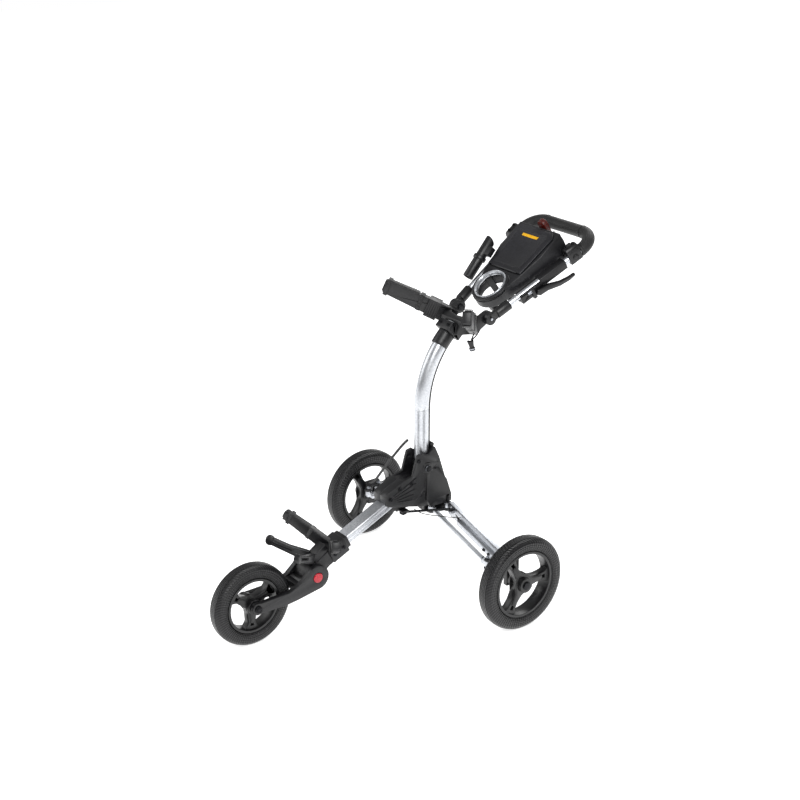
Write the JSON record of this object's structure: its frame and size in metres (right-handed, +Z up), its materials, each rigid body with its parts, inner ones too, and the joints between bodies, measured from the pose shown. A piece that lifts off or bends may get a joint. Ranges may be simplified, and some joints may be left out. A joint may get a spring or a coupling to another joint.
{
  "type": "golf push cart",
  "caption": "Folding golf push cart with foam tyres, curved mast, bag cradle arms, console with cup ring, umbrella holder and looped handle; no bag.",
  "frame": {"origin": "on the ground, at the middle of the footprint", "axes": "+Z up, +Y towards the handle and the person who pushes, front wheel towards -Y, +X to the cart's left"},
  "size_m": [0.746, 1.1505, 0.9598],
  "materials": {
    "black_moulding": "fine-textured black injection moulding",
    "silver_tube": "satin silver anodised",
    "steel": "turned steel",
    "dark_rod": "black painted",
    "foam_tyre": "closed-cell foam with fine tread",
    "foam_grip": "soft foam",
    "silver_ring": "satin silver",
    "red_button": "glossy red",
    "red_knob": "dull brick red",
    "elastic": "woven elastic cord",
    "cable_sheath": "smooth black sheath"
  },
  "bodies": {
    "frame": {"hub_left_shell": "black_moulding", "hub_right_shell": "black_moulding", "front_beam": "silver_tube", "front_rail": "silver_tube", "lower_bracket": "black_moulding", "lower_arm_left": "black_moulding", "lower_arm_right": "black_moulding", "bag_cradle": "black_moulding", "fork_pin": "steel", "mast_pin": "steel", "leg_pins": "steel", "leg_cables": "cable_sheath", "hub_screws": "steel"},
    "mast": {"mast_tube": "silver_tube", "mast_foot": "black_moulding", "mast_collar": "black_moulding", "upper_bracket": "black_moulding", "upper_arm_left": "black_moulding", "upper_arm_right": "black_moulding", "strap_buckle": "black_moulding", "bungee_loop": "elastic", "bungee_hook": "black_moulding", "handle_pins": "steel"},
    "handle": {"handle_tube": "silver_tube", "handle_grip": "foam_grip", "handle_clamps": "black_moulding", "handle_feet": "black_moulding", "console_tray": "black_moulding", "cup_ring": "silver_ring", "cup_fingers": "black_moulding", "umbrella_tube": "black_moulding", "umbrella_collar": "black_moulding", "lever_bracket": "black_moulding", "brake_cable": "cable_sheath", "tee_post": "black_moulding"},
    "lid": {"console_lid": "black_moulding"},
    "console_button": {"release_button": "red_knob"},
    "brake": {"brake_lever": "black_moulding"},
    "latch": {"fold_latch": "black_moulding"},
    "fork": {"fork": "black_moulding", "front_axle": "steel"},
    "fork_release": {"fork_button": "red_button"},
    "front_wheel": {"front_rim": "black_moulding", "front_tyre": "foam_tyre"},
    "slider": {"slider": "black_moulding"},
    "left_leg": {"left_leg": "silver_tube"},
    "left_link": {"left_link": "silver_tube"},
    "left_carrier": {"left_carrier": "black_moulding", "left_axle": "steel"},
    "left_wheel": {"left_rim": "black_moulding", "left_tyre": "foam_tyre"},
    "left_strut": {"left_strut": "dark_rod"},
    "right_leg": {"right_leg": "silver_tube"},
    "right_link": {"right_link": "silver_tube"},
    "right_carrier": {"right_carrier": "black_moulding", "right_axle": "steel"},
    "right_wheel": {"right_rim": "black_moulding", "right_tyre": "foam_tyre"},
    "right_strut": {"right_strut": "dark_rod"}
  },
  "joints": [
    {"name": "mast_fold", "type": "hinge", "parent": "frame", "child": "mast", "pos_m": [0, 0.07484, 0.35], "axis": [1, 0, 0], "range_deg": [0, 90]},
    {"name": "handle_fold", "type": "hinge", "parent": "mast", "child": "handle", "pos_m": [0, 0.24167, 0.74478], "axis": [1, 0, 0], "range_deg": [-110, 0]},
    {"name": "lid_open", "type": "hinge", "parent": "handle", "child": "lid", "pos_m": [0, 0.3475, 0.84444], "axis": [1, 0, 0], "range_deg": [0, 95]},
    {"name": "release_press", "type": "slide", "parent": "handle", "child": "console_button", "axis": [0, -0.8695, -0.4939], "range_m": [0, 0.005], "stiffness_N_per_m": 600, "springref_m": -0.004},
    {"name": "brake_squeeze", "type": "hinge", "parent": "handle", "child": "brake", "pos_m": [0.11441, 0.37247, 0.80414], "axis": [0.9877, -0.136, -0.0773], "range_deg": [0, 16], "stiffness_Nm_per_rad": 0.8, "springref_deg": -20.05},
    {"name": "latch_release", "type": "hinge", "parent": "frame", "child": "latch", "pos_m": [0, 0.10884, 0.362], "axis": [-1, 0, 0], "range_deg": [0, 14], "stiffness_Nm_per_rad": 0.8, "springref_deg": -17.19},
    {"name": "fork_fold", "type": "hinge", "parent": "frame", "child": "fork", "pos_m": [0, -0.28516, 0.142], "axis": [1, 0, 0], "range_deg": [0, 140]},
    {"name": "fork_release_press", "type": "slide", "parent": "fork", "child": "fork_release", "axis": [-1, 0, 0], "range_m": [0, 0.004], "stiffness_N_per_m": 600, "springref_m": -0.004},
    {"name": "front_wheel_spin", "type": "hinge", "parent": "fork", "child": "front_wheel", "pos_m": [0, -0.46516, 0.11], "axis": [1, 0, 0], "continuous": true},
    {"name": "left_leg_swing", "type": "hinge", "parent": "frame", "child": "left_leg", "pos_m": [0.04, 0.13484, 0.231], "axis": [0, 0, -1], "range_deg": [0, 57]},
    {"name": "left_link_swing", "type": "hinge", "parent": "frame", "child": "left_link", "pos_m": [0.025, 0.09084, 0.231], "axis": [0, 0, -1], "range_deg": [0, 57]},
    {"name": "left_carrier_turn", "type": "hinge", "parent": "left_leg", "child": "left_carrier", "pos_m": [0.28, 0.13484, 0.162], "axis": [0, 0, -1], "range_deg": [-57, 0]},
    {"name": "left_wheel_spin", "type": "hinge", "parent": "left_carrier", "child": "left_wheel", "pos_m": [0.343, 0.13484, 0.127], "axis": [1, 0, 0], "continuous": true},
    {"name": "left_strut_turn", "type": "hinge", "parent": "left_leg", "child": "left_strut", "pos_m": [0.074, 0.11884, 0.236], "axis": [0, 0, -1], "range_deg": [-70, 0]},
    {"name": "right_leg_swing", "type": "hinge", "parent": "frame", "child": "right_leg", "pos_m": [-0.04, 0.13484, 0.231], "axis": [0, 0, 1], "range_deg": [0, 57], "deforming": ["leg_cables"]},
    {"name": "right_link_swing", "type": "hinge", "parent": "frame", "child": "right_link", "pos_m": [-0.025, 0.09084, 0.231], "axis": [0, 0, 1], "range_deg": [0, 57]},
    {"name": "right_carrier_turn", "type": "hinge", "parent": "right_leg", "child": "right_carrier", "pos_m": [-0.28, 0.13484, 0.162], "axis": [0, 0, 1], "range_deg": [-57, 0]},
    {"name": "right_wheel_spin", "type": "hinge", "parent": "right_carrier", "child": "right_wheel", "pos_m": [-0.343, 0.13484, 0.127], "axis": [1, 0, 0], "continuous": true},
    {"name": "right_strut_turn", "type": "hinge", "parent": "right_leg", "child": "right_strut", "pos_m": [-0.074, 0.11884, 0.236], "axis": [0, 0, 1], "range_deg": [-70, 0]},
    {"name": "slider_travel", "type": "slide", "parent": "frame", "child": "slider", "axis": [0, -1, 0], "range_m": [0, 0.035]}
  ],
  "couplings": [
    {"joint": "left_leg_swing", "follows": "mast_fold", "ratio": 0.62222},
    {"joint": "left_link_swing", "follows": "mast_fold", "ratio": 0.62222},
    {"joint": "left_carrier_turn", "follows": "mast_fold", "ratio": -0.62222},
    {"joint": "left_strut_turn", "follows": "mast_fold", "ratio": -0.765},
    {"joint": "right_leg_swing", "follows": "mast_fold", "ratio": 0.62222},
    {"joint": "right_link_swing", "follows": "mast_fold", "ratio": 0.62222},
    {"joint": "right_carrier_turn", "follows": "mast_fold", "ratio": -0.62222},
    {"joint": "right_strut_turn", "follows": "mast_fold", "ratio": -0.765},
    {"joint": "slider_travel", "follows": "mast_fold", "m_per_rad": 0.0212}
  ]
}
